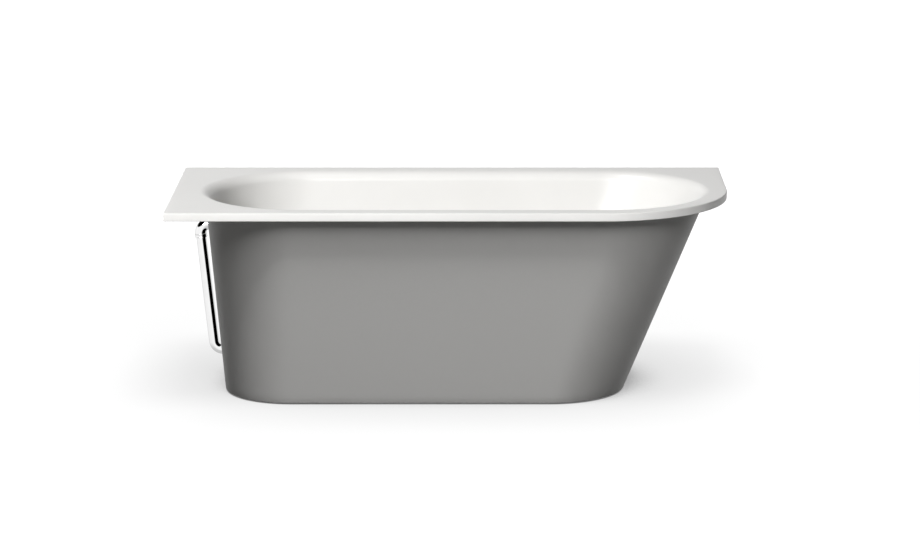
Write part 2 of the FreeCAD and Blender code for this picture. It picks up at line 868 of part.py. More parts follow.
def make_tail_pipe():
    body = node("PartDesign::Body", "tail_pipe")
    place(body, waste_x)
    inner = S.tail_pipe_radius - S.pipe_wall
    bead = S.tail_pipe_radius + S.tail_bead_reach
    corners = [
        (inner, tail_bottom),
        (S.tail_pipe_radius, tail_bottom),
        (S.tail_pipe_radius, bead_bottom),
        (bead, bead_bottom),
        (bead, bead_top),
        (S.tail_pipe_radius, bead_top),
        (S.tail_pipe_radius, body_bottom),
        (inner, body_bottom),
    ]
    revolve(body, corners)


def make_waste_gaskets():
    hole = S.waste_tail_radius + S.hole_clearance
    place(ring("waste_gasket_top", hole, S.waste_flange_radius, recess_floor, flange_bottom), waste_x)
    place(ring("waste_gasket_under", hole, S.waste_collar_radius, collar_top, floor_bottom), waste_x)


def make_plug():
    under = flange_top + S.plug_gap
    cap = node("PartDesign::Body", "plug_cap")
    place(cap, waste_x)
    edge_top = under + S.plug_edge
    crown_radius = (S.plug_radius * S.plug_radius + S.plug_crown * S.plug_crown) / (S.plug_crown * 2)
    crown = edge_top + S.plug_crown
    corners = [(0, under), (S.plug_radius, under), (S.plug_radius, edge_top), (0, crown)]
    revolve(cap, corners, arcs={2: (0, crown - crown_radius, crown_radius)})

    seal = node("PartDesign::Body", "plug_seal")
    place(seal, waste_x)
    hole = S.plug_stem_radius + S.running_clearance
    seal_low = under - S.plug_seal_height
    corners = [
        (hole, seal_low),
        (S.plug_seal_radius - S.plug_seal_taper, seal_low),
        (S.plug_seal_radius, under),
        (hole, under),
    ]
    revolve(seal, corners)

    stem = node("PartDesign::Body", "plug_stem")
    place(stem, waste_x)
    low = under - S.plug_stem_length
    corners = [
        (0, low),
        (S.plug_stem_radius - S.plug_stem_edge, low),
        (S.plug_stem_radius, low + S.plug_stem_edge),
        (S.plug_stem_radius, under),
        (0, under),
    ]
    revolve(stem, corners)


# Support: board, two leg channels, screws and four levelling feet.

def make_board():
    body = node("PartDesign::Body", "base_board")
    sketch = sketch_on(body, "XY_Plane", "plan", board_bottom)
    stadium(sketch, board_foot, board_head, board_half)
    pad(body, sketch, S.board_thickness)
    cylinder(
        body, "Subtractive", "waste_hole", "XY_Plane", S.board_hole_radius,
        S.board_thickness + S.overrun, x=waste_x, z=board_bottom - S.overrun / 2,
    )
    for end, leg_x in leg_places.items():
        for index, screw_y in enumerate(screw_rows):
            cylinder(
                body, "Subtractive", f"pilot_{end}_{index}", "XY_Plane",
                S.screw_radius + S.running_clearance, S.screw_depth, x=leg_x, y=screw_y, z=board_bottom,
            )


def make_channels():
    for end, leg_x in leg_places.items():
        body = node("PartDesign::Body", f"leg_channel_{end}")
        place(body, leg_x)
        half = S.channel_width / 2
        inner = half - S.channel_wall
        corners = [
            (-half, channel_lip),
            (-inner, channel_lip),
            (-inner, web_bottom),
            (inner, web_bottom),
            (inner, channel_lip),
            (half, channel_lip),
            (half, board_bottom),
            (-half, board_bottom),
        ]
        sketch = sketch_on(body, "XZ_Plane", "section")
        outline(sketch, corners)
        pad(body, sketch, channel_reach * 2, symmetric=True)
        low = web_bottom - S.overrun / 2
        for side, foot_y in foot_places.items():
            cylinder(
                body, "Subtractive", f"stud_hole_{side}", "XY_Plane",
                S.stud_radius + S.stud_hole_clearance, S.overrun, y=foot_y, z=low,
            )
        for index, screw_y in enumerate(screw_rows):
            cylinder(
                body, "Subtractive", f"screw_hole_{index}", "XY_Plane",
                S.screw_radius + S.running_clearance, S.overrun, y=screw_y, z=low,
            )


def primitive(kind, name, sizes, x, y, z):
    made = doc.addObject(f"Part::{kind}", name)
    for path, size in sizes.items():
        bind(made, path, size)
    place(made, x, y, z)
    return made


def make_channel_screws():
    group = node("Part::Compound", "channel_screws")
    screws = []
    for end, leg_x in leg_places.items():
        for index, screw_y in enumerate(screw_rows):
            name = f"screw_{end}_{index}"
            shank_size = {"Radius": S.screw_radius, "Height": S.channel_wall + S.screw_depth}
            head_size = {
                "Radius1": S.screw_head_radius - S.screw_head_height / 2,
                "Radius2": S.screw_head_radius,
                "Height": S.screw_head_height,
            }
            shank = primitive("Cylinder", f"{name}_shank", shank_size, leg_x, screw_y, web_bottom)
            head_z = web_bottom - S.screw_head_height
            head = primitive("Cone", f"{name}_head", head_size, leg_x, screw_y, head_z)
            screw = doc.addObject("Part::Fuse", name)
            screw.Base = shank
            screw.Tool = head
            screws.append(screw)
    group.Links = screws


def make_lock_nuts():
    group = node("Part::Compound", "lock_nuts")
    corner = S.lock_nut_flats / math.sqrt(3)
    hole = {"Radius": S.stud_radius + S.running_clearance, "Height": S.lock_nut_height}
    nuts = []
    for end, leg_x in leg_places.items():
        for side, foot_y in foot_places.items():
            for level, nut_z in (("upper", board_bottom), ("lower", web_bottom - S.lock_nut_height)):
                name = f"lock_nut_{side}_{end}_{level}"
                outer = {"Circumradius": corner, "Height": S.lock_nut_height}
                nut = doc.addObject("Part::Cut", name)
                nut.Base = primitive("Prism", f"{name}_hexagon", outer, leg_x, foot_y, nut_z)
                nut.Tool = primitive("Cylinder", f"{name}_hole", hole, leg_x, foot_y, nut_z)
                nuts.append(nut)
    group.Links = nuts


def make_feet():
    stud_top = board_bottom + S.lock_nut_height + S.stud_above_nut
    stud_profile = [
        (0, S.pad_floor),
        (S.stud_radius, S.pad_floor),
        (S.stud_radius, stud_top - S.stud_edge),
        (S.stud_radius - S.stud_edge, stud_top),
        (0, stud_top),
    ]
    socket = S.stud_radius + S.running_clearance
    pad_profile = [
        (0, 0),
        (S.pad_radius, 0),
        (S.pad_radius, S.pad_edge),
        (S.pad_top_radius, S.pad_height),
        (socket, S.pad_height),
        (socket, S.pad_floor),
        (0, S.pad_floor),
    ]
    for end, leg_x in leg_places.items():
        for side, foot_y in foot_places.items():
            for name, profile in (("stud", stud_profile), ("pad", pad_profile)):
                body = node("PartDesign::Body", f"foot_{name}_{side}_{end}")
                place(body, leg_x, foot_y)
                revolve(body, profile)


make_basin()
make_apron()
make_elbow()
make_overflow_seals()
make_rosette()
make_pipe()
make_slip_joints()
make_waste_flange()
make_waste_body()
make_waste_gaskets()
make_tail_pipe()
make_plug()
make_board()
make_channels()
make_channel_screws()
make_lock_nuts()
make_feet()
doc.recompute()

failed = [item.Label for item in doc.Objects if "Invalid" in item.State or "Error" in item.State]
if failed:
    raise RuntimeError(f"these objects failed: {failed}")
for item in nodes:
    if item.Shape.isNull() or not item.Shape.isValid() or not item.Shape.Solids:
        raise RuntimeError(f"{item.Label} has no valid solid")

os.makedirs("parts", exist_ok=True)
for item in nodes:
    item.Shape.exportStep(f"parts/{item.Label}.step")
    box = item.Shape.BoundBox
    print(
        f"{item.Label}: {len(item.Shape.Solids)} solids, {item.Shape.Volume / 1000:.1f} cm3,"
        f" x {box.XMin:.1f} to {box.XMax:.1f}, y {box.YMin:.1f} to {box.YMax:.1f},"
        f" z {box.ZMin:.1f} to {box.ZMax:.1f}"
    )
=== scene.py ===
# %% [markdown]
# # A corner bath with an exposed overflow pipe
#
# The bath is one white moulding with a grey outer skin bonded under its rim, and chrome fittings at the foot
# end. The engineering model gives every piece its place in metres. This lesson puts smooth surfaces over the
# pieces that show most, gives every piece a finish, and sets the camera, the floor and the light.

# %% Load the fixed frame
import json
import math

import bmesh
import bpy
import numpy as np
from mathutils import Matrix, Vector

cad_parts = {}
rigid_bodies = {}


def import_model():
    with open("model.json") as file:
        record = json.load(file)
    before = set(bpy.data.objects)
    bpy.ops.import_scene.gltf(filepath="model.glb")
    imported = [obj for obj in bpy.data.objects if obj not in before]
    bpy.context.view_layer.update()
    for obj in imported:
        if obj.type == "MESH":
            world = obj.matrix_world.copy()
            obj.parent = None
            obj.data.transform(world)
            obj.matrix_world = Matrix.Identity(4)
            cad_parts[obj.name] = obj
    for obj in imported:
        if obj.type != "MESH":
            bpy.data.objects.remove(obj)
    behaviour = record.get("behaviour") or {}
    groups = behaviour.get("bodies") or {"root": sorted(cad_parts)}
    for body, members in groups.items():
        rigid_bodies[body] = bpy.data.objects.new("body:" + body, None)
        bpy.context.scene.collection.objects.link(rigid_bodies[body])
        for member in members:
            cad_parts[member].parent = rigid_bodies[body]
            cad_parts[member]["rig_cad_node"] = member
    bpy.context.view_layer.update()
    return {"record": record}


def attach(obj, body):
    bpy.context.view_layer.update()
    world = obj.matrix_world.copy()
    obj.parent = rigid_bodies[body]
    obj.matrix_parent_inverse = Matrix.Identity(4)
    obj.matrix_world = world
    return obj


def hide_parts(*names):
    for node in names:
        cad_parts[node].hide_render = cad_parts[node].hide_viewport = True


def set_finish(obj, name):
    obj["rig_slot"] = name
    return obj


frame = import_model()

scene = bpy.context.scene
slot_of = {row["node"]: row["material_slot"] for row in frame["record"]["subparts"]}
print(len(slot_of), "nodes in", len(set(slot_of.values())), "finishes")

# %% [markdown]
# ## Camera
#
# The rim's outline was fitted to the picture: a long lens from about ten metres, looking down by a little
# over twelve degrees, square to the front. A lens shift keeps the bath off the middle without turning the
# camera.

# %% Camera
CAMERA_PLACE = (0.1016, -9.895, 2.502)
LOOK_DOWN_DEGREES = 12.30
SENSOR_MM = 36.0
LENS_MM = 128.07
LENS_SHIFT = -0.0259

camera_data = bpy.data.cameras.new("long_lens")
camera_data.sensor_width = SENSOR_MM
camera_data.lens = LENS_MM
camera_data.shift_x = LENS_SHIFT
camera = bpy.data.objects.new("camera", camera_data)
camera.location = CAMERA_PLACE
camera.rotation_euler = (math.radians(90 - LOOK_DOWN_DEGREES), 0, 0)
scene.collection.objects.link(camera)
scene.camera = camera
print("camera looks down by", LOOK_DOWN_DEGREES, "degrees with a lens of", LENS_MM, "mm")

# %% [markdown]
# ## From arrays to pieces
#
# Every new piece is a grid of points: one direction goes round the piece, the other runs along its profile.
# Modelling it by hand would hide the measurements, so whole arrays of points are worked out from formulas.
# A closed surface whose faces point outwards encloses a positive volume, which tells which way to wind them.

# %% Grid helpers
MERGE_DISTANCE = 1e-6
SHARP_DEGREES = 32


def grid_faces(rows, columns, join_rows):
    """Quads of a grid whose columns close on themselves; join_rows also joins the last row to the first.
    The point in row r and column c has the number r x columns + c."""
    row = np.arange(rows if join_rows else rows - 1)[:, None]
    column = np.arange(columns)[None, :]
    after = (column + 1) % columns
    here = row * columns
    below = ((row + 1) % rows) * columns
    corners = (here + column, here + after, below + after, below + column)
    return np.stack(np.broadcast_arrays(*corners), axis=-1).reshape(-1, 4)


def enclosed_volume(points, faces):
    """Sum over the two triangles of every quad of first . (second x third) / 6."""
    quad = points[faces]
    halves = [np.cross(quad[:, 1], quad[:, 2]), np.cross(quad[:, 2], quad[:, 3])]
    return sum(np.einsum("ij,ij->", quad[:, 0], half) for half in halves) / 6


def make_piece(name, rows, body, node, join_rows=True):
    """A smooth piece from an array of rows of points; it rides on a body and stands for one node."""
    rows = np.asarray(rows, float)
    points = rows.reshape(-1, 3)
    faces = grid_faces(rows.shape[0], rows.shape[1], join_rows)
    if enclosed_volume(points, faces) < 0:
        faces = faces[:, ::-1]
    mesh = bpy.data.meshes.new(name)
    mesh.from_pydata(points.tolist(), [], faces.tolist())
    work = bmesh.new()
    work.from_mesh(mesh)
    bmesh.ops.remove_doubles(work, verts=work.verts, dist=MERGE_DISTANCE)
    work.to_mesh(mesh)
    work.free()
    mesh.polygons.foreach_set("use_smooth", np.ones(len(mesh.polygons), bool))
    mesh.set_sharp_from_angle(angle=math.radians(SHARP_DEGREES))
    piece = bpy.data.objects.new(name, mesh)
    scene.collection.objects.link(piece)
    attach(piece, body)
    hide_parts(node)
    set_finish(piece, slot_of[node])
    print(name, "has", len(mesh.polygons), "faces")
    return piece


print("edges sharper than", SHARP_DEGREES, "degrees stay sharp")

# %% [markdown]
# ## Basin and rim
#
# On the real bath a heated white sheet is drawn over one mould: floor, walls, rolled lip, flat deck and rim
# edge are a single skin. Here one closed grid does the same. Each column stands on a spine that runs from the
# foot arc's centre to the head arc's centre and looks out in one direction. The rows walk from the waste hole
# over the floor, up the wall, over the lip and deck, round the rim's edge and back down the underside.

# %% Basin sizes
RIM_LOW, RIM_TOP = 0.570, 0.595
RIM_HALF, RIM_LONG = 0.375, 0.850
RIM_CORNER = 0.390
RIM_EDGE = 0.003
LIP_ROUND = 0.034
WALL = 0.005
FLOOR_TOP, FLOOR_LOW = 0.155, 0.150
FLOOR_ROUND = 0.090
FOOT_INSET, HEAD_INSET, SIDE_INSET = 0.109, 0.073, 0.0785
FOOT_SHARE, HEAD_SHARE, SIDE_SHARE = 0.11, 0.5, 0.11


def basin_spine(height):
    """Foot centre, head centre and radius of the stadium at a height. Each is its value at the rim's top,
    moved by a share of the drop below it."""
    drop = RIM_TOP - height
    half = RIM_HALF - SIDE_INSET - drop * SIDE_SHARE
    foot = FOOT_INSET + drop * FOOT_SHARE - RIM_LONG + half
    head = RIM_LONG - HEAD_INSET - drop * HEAD_SHARE - half
    return foot, head, half


spine_foot, spine_head, top_half = basin_spine(RIM_TOP)
print("bowl is", 2 * top_half, "m wide at the rim's top")

# %% Basin columns
LONG_STEPS = 44
HEAD_STEPS, HEAD_BACK_STEPS = 59, 15
FOOT_STEPS, FOOT_SIDE_STEPS = 39, 17
quarter = np.pi / 2


def steps_between(first, last, steps):
    """Evenly spaced values from the first up to the last, which is left to the next stretch."""
    return np.linspace(first, last, steps, endpoint=False)


back_head_turn = np.arctan2(RIM_HALF, RIM_LONG - spine_head)
back_foot_turn = np.arctan2(RIM_HALF, -RIM_LONG - spine_foot)
front_foot_turn = 2 * np.pi - back_foot_turn
head_turns = np.concatenate([
    steps_between(-quarter, back_head_turn, HEAD_STEPS),
    steps_between(back_head_turn, quarter, HEAD_BACK_STEPS),
])
foot_turns = np.concatenate([
    steps_between(quarter, back_foot_turn, FOOT_SIDE_STEPS),
    steps_between(back_foot_turn, front_foot_turn, FOOT_STEPS),
    steps_between(front_foot_turn, 3 * quarter, FOOT_SIDE_STEPS),
])
run = steps_between(0, 1, LONG_STEPS)
turns = np.concatenate([np.full(LONG_STEPS, -quarter), head_turns, np.full(LONG_STEPS, quarter), foot_turns])
shares = np.concatenate([run, np.ones(len(head_turns)), 1 - run, np.zeros(len(foot_turns))])
outward = np.stack([np.cos(turns), np.sin(turns)], axis=-1)
slope = SIDE_SHARE + (HEAD_SHARE - SIDE_SHARE) * outward[:, 0] * (shares == 1)
slant = np.sqrt(1 + slope ** 2)
print("basin grid has", len(turns), "columns")

# %% [markdown]
# The wall leans a little all round and much more at the head end. A ball rolled along a corner touches both
# of its sides, so the ball's own surface between the two touching places is a smooth rounding. One such ball
# joins floor and wall, and another joins wall and deck. A bevel could round them too, but its radius would
# change with the wall's lean.

# %% Basin rows
FLOOR_ROWS, WALL_ROWS, LIP_ROWS = 20, 12, 18
HULL_ROWS, HULL_WALL_ROWS = 14, 8


def level(flat, height):
    """Points of a row from their plan places and a height, which may be one number for each column."""
    return np.column_stack([flat, np.broadcast_to(height, len(flat))])


def bowl_plan(height, grow=0.0):
    """Plan places on the bowl's wall: the spine's point for each column, plus the stadium's radius along the
    outward direction. The height may be one number for each column."""
    foot, head, half = basin_spine(height)
    middle = np.column_stack([foot + (head - foot) * shares, np.zeros(len(shares))])
    return middle + outward * np.broadcast_to(half + grow, len(shares))[:, None]


def floor_fillet(floor, radius, grow, steps):
    """A ball between wall and floor: rows from the floor up to the wall. The ball's centre is one radius
    above the floor and one radius from the wall. A point is centre + radius (outward cos t - up sin t)."""
    touch = floor + radius - radius * slope / slant
    centre = bowl_plan(touch, grow) - outward * (radius / slant)[:, None]
    wall_turn = np.arctan(slope)
    rows = []
    for share in np.linspace(0, 1, steps):
        turn = quarter + (wall_turn - quarter) * share
        plan = centre + outward * (radius * np.cos(turn))[:, None]
        rows.append(level(plan, floor + radius - radius * np.sin(turn)))
    return touch, rows


def lip_fillet(radius, steps):
    """A ball under the deck: rows from the wall up to the deck. A point is
    centre + radius (up sin t - outward cos t)."""
    touch = RIM_TOP - radius + radius * slope / slant
    centre = bowl_plan(touch) + outward * (radius / slant)[:, None]
    wall_turn = np.arctan(slope)
    rows = []
    for share in np.linspace(0, 1, steps):
        turn = wall_turn + (quarter - wall_turn) * share
        plan = centre - outward * (radius * np.cos(turn))[:, None]
        rows.append(level(plan, RIM_TOP - radius + radius * np.sin(turn)))
    return touch, rows


def wall_between(first, last, steps, grow=0.0):
    """Rows on the bowl's wall at heights first + (last - first) share, without the two ends."""
    heights = [first + (last - first) * share for share in np.linspace(0, 1, steps)[1:-1]]
    return [level(bowl_plan(height, grow), height) for height in heights]


lip_touch, lip_rows = lip_fillet(LIP_ROUND, LIP_ROWS)
floor_touch, floor_rows = floor_fillet(FLOOR_TOP, FLOOR_ROUND, 0.0, FLOOR_ROWS)
hull_touch, hull_rows = floor_fillet(FLOOR_LOW, FLOOR_ROUND + WALL, WALL, HULL_ROWS)
wall_rows = wall_between(floor_touch, lip_touch, WALL_ROWS)
hull_wall = wall_between(RIM_LOW, hull_touch, HULL_WALL_ROWS, WALL)
print("wall meets the lip between", lip_touch.min(), "and", lip_touch.max())

# %% [markdown]
# The rim is square at three corners and has one large round corner at the front of the head end. Each
# column's ray from the spine is followed to that outline. The square corners get a column of their own, so
# they stay crisp, and an offset along each column's mitre gives the small rounding of the edge.

# %% Rim outline
NEARLY_ZERO = 1e-9
SAME_REACH = 1e-6
OUT_OF_REACH = 9.0


def rim_outline():
    """Where each column's ray meets the rim, and the mitre that moves that place inwards by one unit.
    A straight side is reached at (side - start) / direction; the round corner by the usual circle formula."""
    start = np.column_stack([spine_foot + (spine_head - spine_foot) * shares, np.zeros(len(shares))])
    sides = np.sign(outward) * [RIM_LONG, RIM_HALF]
    with np.errstate(divide="ignore"):
        along = np.where(np.abs(outward) > NEARLY_ZERO, (sides - start) / outward, OUT_OF_REACH)
    reach = along.min(axis=1)
    hit = start + outward * reach[:, None]
    mitre = np.sign(outward) * (np.abs(along - reach[:, None]) < SAME_REACH)
    middle = np.array([RIM_LONG - RIM_CORNER, RIM_CORNER - RIM_HALF])
    ahead = np.einsum("ij,ij->i", middle - start, outward)
    apart = ahead ** 2 - np.einsum("ij,ij->i", middle - start, middle - start) + RIM_CORNER ** 2
    bend = start + outward * (ahead + np.sqrt(np.maximum(apart, 0)))[:, None]
    rounded = (hit[:, 0] > middle[0]) & (hit[:, 1] < middle[1])
    hit = np.where(rounded[:, None], bend, hit)
    return hit, np.where(rounded[:, None], (bend - middle) / RIM_CORNER, mitre)


rim_plan, rim_mitre = rim_outline()
print("rim is", np.ptp(rim_plan[:, 0]), "m long and", np.ptp(rim_plan[:, 1]), "m wide")

# %% Rim rows
EDGE_ROWS = 6
DECK_SHARES = (0.12, 0.4, 0.75)
UNDER_SHARES = (0.4, 0.8)


def rim_row(inset, height):
    """The rim's outline at a height, moved inwards along the mitres."""
    return level(rim_plan - rim_mitre * inset, height)


def edge_rows(sign, radius, steps):
    """A quarter circle round the rim's edge: the inset is r (1 - sin t), and the height lies r (1 - cos t)
    from the rim's top, or from its underside where the sign is negative."""
    face = RIM_TOP if sign > 0 else RIM_LOW
    angles = np.linspace(0, quarter, steps)
    rows = [rim_row(radius * (1 - math.sin(t)), face - sign * radius * (1 - math.cos(t))) for t in angles]
    return rows if sign > 0 else rows[::-1]


def between(first, last, shares_between):
    """Rows between two rows, at the given shares of the way."""
    return [first + (last - first) * share for share in shares_between]


top_edge = edge_rows(1, RIM_EDGE, EDGE_ROWS)
low_edge = edge_rows(-1, RIM_EDGE, EDGE_ROWS)
deck_rows = between(lip_rows[-1], top_edge[0], DECK_SHARES)
hull_top = level(bowl_plan(RIM_LOW, WALL), RIM_LOW)
under_rows = between(low_edge[-1], hull_top, UNDER_SHARES)
print("rim edge is rounded by", RIM_EDGE, "m")

# %% Basin piece
WASTE = np.array([-0.465, 0.0])
WASTE_HOLE, WASTE_RECESS = 0.0225, 0.0365
RECESS_LEVEL = 0.153
FLOOR_SHARES = (0.2, 0.5, 0.8)
HULL_FLOOR_SHARES = (0.3, 0.7)


def waste_circle(radius, height):
    """A circle round the waste, with each column at the bearing of its own place on the floor."""
    away = floor_rows[0][:, :2] - WASTE
    bearing = away / np.linalg.norm(away, axis=1)[:, None]
    return level(WASTE + bearing * radius, height)


hole_low = waste_circle(WASTE_HOLE, FLOOR_LOW)
recess_edge = waste_circle(WASTE_RECESS, FLOOR_TOP)
basin_rows = [hole_low, waste_circle(WASTE_HOLE, RECESS_LEVEL), waste_circle(WASTE_RECESS, RECESS_LEVEL)]
basin_rows += [recess_edge] + between(recess_edge, floor_rows[0], FLOOR_SHARES)
basin_rows += floor_rows + wall_rows + lip_rows + deck_rows + top_edge + low_edge
basin_rows += under_rows + [hull_top] + hull_wall + hull_rows[::-1]
basin_rows += between(hull_rows[0], hole_low, HULL_FLOOR_SHARES)
make_piece("basin_moulding", basin_rows, "tub", "basin")

# %% [markdown]
# ## Outer apron
#
# The grey apron is a second skin, bonded under the rim: steep at the foot end, raked at the head end, with
# wide round corners. A box with bevelled edges could come near it, but its corners would keep one radius. So
# its outline at any height is four quarter circles joined by straight runs, and every size in it changes
# evenly from top to floor, so straight rulings carry it down. The lower edge is rounded.

# %% Apron outline
APRON_LOW = 0.004
APRON_FOOT_INSET, APRON_HEAD_INSET, APRON_SIDE_INSET = 0.10075, 0.0745, 0.034
APRON_FOOT_SHARE, APRON_HEAD_SHARE, APRON_SIDE_SHARE = 0.102, 0.43, 0.0025
FOOT_FLAT, FOOT_FLAT_BASE = 0.116, 0.260
HEAD_FLAT, HEAD_FLAT_BASE = 0.096, 0.215
ARC_STEPS, LONG_RUN_STEPS, SHORT_RUN_STEPS = 30, 48, 10


def apron_sizes(height):
    """Foot end, head end, half width and the two corner radii at a height. Each is its value under the rim,
    moved by a share of the drop. A corner's radius is the half width less half of the end's flat."""
    drop = RIM_LOW - height
    fall = drop / (RIM_LOW - APRON_LOW)
    foot = APRON_FOOT_INSET + APRON_FOOT_SHARE * drop - RIM_LONG
    head = RIM_LONG - APRON_HEAD_INSET - APRON_HEAD_SHARE * drop
    half = RIM_HALF - APRON_SIDE_INSET - APRON_SIDE_SHARE * drop
    foot_flat = FOOT_FLAT + (FOOT_FLAT_BASE - FOOT_FLAT) * fall
    head_flat = HEAD_FLAT + (HEAD_FLAT_BASE - HEAD_FLAT) * fall
    return foot, head, half, half - foot_flat / 2, half - head_flat / 2


def apron_columns():
    """First corner, last corner, share of the run between them and outward turn, for every column. Corners
    are counted from the front of the foot end by way of the front, so runs 0 and 2 are the long ones."""
    firsts, lasts, runs, turns_out = [], [], [], []
    for corner in range(4):
        steps = LONG_RUN_STEPS if corner in (0, 2) else SHORT_RUN_STEPS
        columns = ARC_STEPS + steps - 1
        arc = np.linspace(corner - 2, corner - 1, ARC_STEPS) * quarter
        turns_out += [arc, np.full(steps - 1, arc[-1])]
        runs += [np.zeros(ARC_STEPS), np.arange(1, steps) / steps]
        firsts.append(np.full(columns, corner))
        lasts.append(np.full(columns, (corner + 1) % 4))
    return [np.concatenate(part) for part in (firsts, lasts, runs, turns_out)]


first_corner, last_corner, run_share, apron_turn = apron_columns()
apron_out = np.stack([np.cos(apron_turn), np.sin(apron_turn)], axis=-1)
print("apron grid has", len(apron_turn), "columns")

# %% Apron piece
APRON_EDGE = 0.002
OUTER_ROWS, INNER_ROWS = 26, 10


def apron_row(height, inset=0.0):
    """Each place is its corner's centre + radius along the outward turn, carried along the straight run."""
    foot, head, half, foot_round, head_round = apron_sizes(height)
    radius = np.array([foot_round, head_round, head_round, foot_round])
    centre = np.array([
        [foot + foot_round, foot_round - half],
        [head - head_round, head_round - half],
        [head - head_round, half - head_round],
        [foot + foot_round, half - foot_round],
    ])
    ends = [centre[at] + apron_out * (radius[at] - inset)[:, None] for at in (first_corner, last_corner)]
    return level(ends[0] + (ends[1] - ends[0]) * run_share[:, None], height)


def apron_edge_row(turn):
    """A row of the rounded lower edge: r (1 - sin t) above the lowest place and r (1 - cos t) inwards."""
    return apron_row(APRON_LOW + APRON_EDGE * (1 - math.sin(turn)), APRON_EDGE * (1 - math.cos(turn)))


outer_rows = [apron_row(height) for height in np.linspace(RIM_LOW, APRON_LOW + APRON_EDGE, OUTER_ROWS)]
bottom_rows = [apron_edge_row(turn) for turn in np.linspace(0, quarter, EDGE_ROWS)[1:]]
inner_rows = [apron_row(height, WALL) for height in np.linspace(APRON_LOW, RIM_LOW, INNER_ROWS)]
apron = make_piece("apron_skin", outer_rows + bottom_rows + inner_rows, "tub", "outer_apron")

# %% [markdown]
# ## Chrome overflow
#
# The elbow and the bent pipe are round tubes. A curve with a round bevel could make the pipe, but not the
# steps of the elbow's flange and neck, so both come from one function. A tube is a circle carried along a
# path: a straight run, a bend and another straight run, all in the upright plane through the bath's middle,
# and its radius may change on the way.

# %% Bent tubes
ROUND_STEPS = 72


def bent_tube(start, heading, towards, run, bend, turn, lengths, radii):
    """Rows of a tube at path lengths s. Before the bend the path is start + heading s; in it, the middle is
    bend ((1 - cos t) towards + sin t heading) on; after it the path goes straight on. A row is the middle
    + radius (cos a across + sin a sideways)."""
    lengths = np.asarray(lengths, float)[:, None]
    radii = np.asarray(radii, float)[:, None]
    t = np.clip((lengths - run) / bend, 0, turn)
    middle = start + heading * np.minimum(lengths, run)
    middle = middle + bend * ((1 - np.cos(t)) * towards + np.sin(t) * heading)
    tangent = np.cos(t) * heading + np.sin(t) * towards
    middle = middle + tangent * np.maximum(lengths - run - bend * turn, 0)
    across = np.cos(t) * towards - np.sin(t) * heading
    around = np.linspace(0, 2 * np.pi, ROUND_STEPS, endpoint=False)
    swing = radii * np.cos(around)
    side = radii * np.sin(around)
    flat = middle[:, None, :] + across[:, None, :] * swing[..., None]
    return np.stack([flat[..., 0], side, flat[..., 1]], axis=-1)


def rounded_steps(corners, radius, steps=5):
    """A profile whose inner corners are each cut by a short curve: a quadratic between the corner's two
    sides, (1 - u)^2 first + 2 u (1 - u) corner + u^2 last. No cut takes more than half of a side."""
    corners = np.asarray(corners, float)
    u = np.linspace(0, 1, steps)[:, None]
    line = [corners[:1]]
    for before, here, after in zip(corners[:-2], corners[1:-1], corners[2:]):
        first = here + (before - here) * min(radius / np.linalg.norm(before - here), 0.5)
        last = here + (after - here) * min(radius / np.linalg.norm(after - here), 0.5)
        line.append((1 - u) ** 2 * first + 2 * u * (1 - u) * here + u ** 2 * last)
    return np.concatenate(line + [corners[-1:]])


print("tubes have", ROUND_STEPS, "sides")

# %% Overflow sizes
OVERFLOW_DROP = 0.106
GASKET, FLANGE = 0.002, 0.004
ELBOW_IN, ELBOW_BEND = 0.012788, 0.0275
NECK_LENGTH, SOCKET_DEPTH = 0.007, 0.009
PIPE_HEIGHT, PIPE_END = 0.091, -0.498

LEAN = math.atan(APRON_FOOT_SHARE)
INTO = np.array([math.cos(LEAN), math.sin(LEAN)])
DOWN = np.array([math.sin(LEAN), -math.cos(LEAN)])
overflow_height = RIM_TOP - OVERFLOW_DROP
face = np.array([apron_sizes(overflow_height)[0], overflow_height])
pipe_axis = -(GASKET + FLANGE + ELBOW_BEND)
neck_drop = ELBOW_BEND + NECK_LENGTH


def on_face(into, up):
    """Place (x, z) of a point that stands `into` the bath and `up` along the leaning foot end."""
    return face + INTO * into - DOWN * up


print("pipe stands", -pipe_axis, "m off the foot end")

# %% Pipe
PIPE_RADIUS, PIPE_BORE = 0.016, 0.0145
PIPE_BEND = 0.028
PIPE_ROWS, PIPE_BEND_ROWS = 13, 26
LAST_RUN = 0.1

pipe_top = on_face(pipe_axis, SOCKET_DEPTH - neck_drop)
pipe_drop = (pipe_top[1] - PIPE_HEIGHT) / math.cos(LEAN)
pipe_turn = quarter - LEAN
corner_cut = PIPE_BEND * math.tan(pipe_turn / 2)
pipe_run = pipe_drop - corner_cut
bend_stop = pipe_run + PIPE_BEND * pipe_turn
pipe_length = bend_stop + PIPE_END - (pipe_top[0] + math.sin(LEAN) * pipe_drop + corner_cut)
pipe_steps = np.concatenate([
    steps_between(0, pipe_run, PIPE_ROWS),
    np.linspace(pipe_run, bend_stop, PIPE_BEND_ROWS),
    [pipe_length - LAST_RUN, pipe_length],
])


def pipe_wall(steps, radius):
    """Rows of the pipe's outer or inner wall at the given path lengths."""
    radii = np.full(len(steps), radius)
    return bent_tube(pipe_top, DOWN, INTO, pipe_run, PIPE_BEND, pipe_turn, steps, radii)


pipe_rows = np.concatenate([pipe_wall(pipe_steps, PIPE_RADIUS), pipe_wall(pipe_steps[::-1], PIPE_BORE)])
make_piece("overflow_tube", pipe_rows, "tub", "overflow_pipe")
print("pipe is", round(pipe_length, 3), "m long")

# %% Elbow
ELBOW_RADIUS, ELBOW_BORE = 0.018, 0.0145
FLANGE_RADIUS, FLANGE_ROUND = 0.023, 0.0012
FLANGE_FOOT = 0.003
NECK_RADIUS, SOCKET_RADIUS = 0.0178, 0.0162
BORE_MARGIN, SHOULDER = 0.0005, 0.0001
ELBOW_BEND_ROWS, ROWS_IN_FOOT = 30, 3

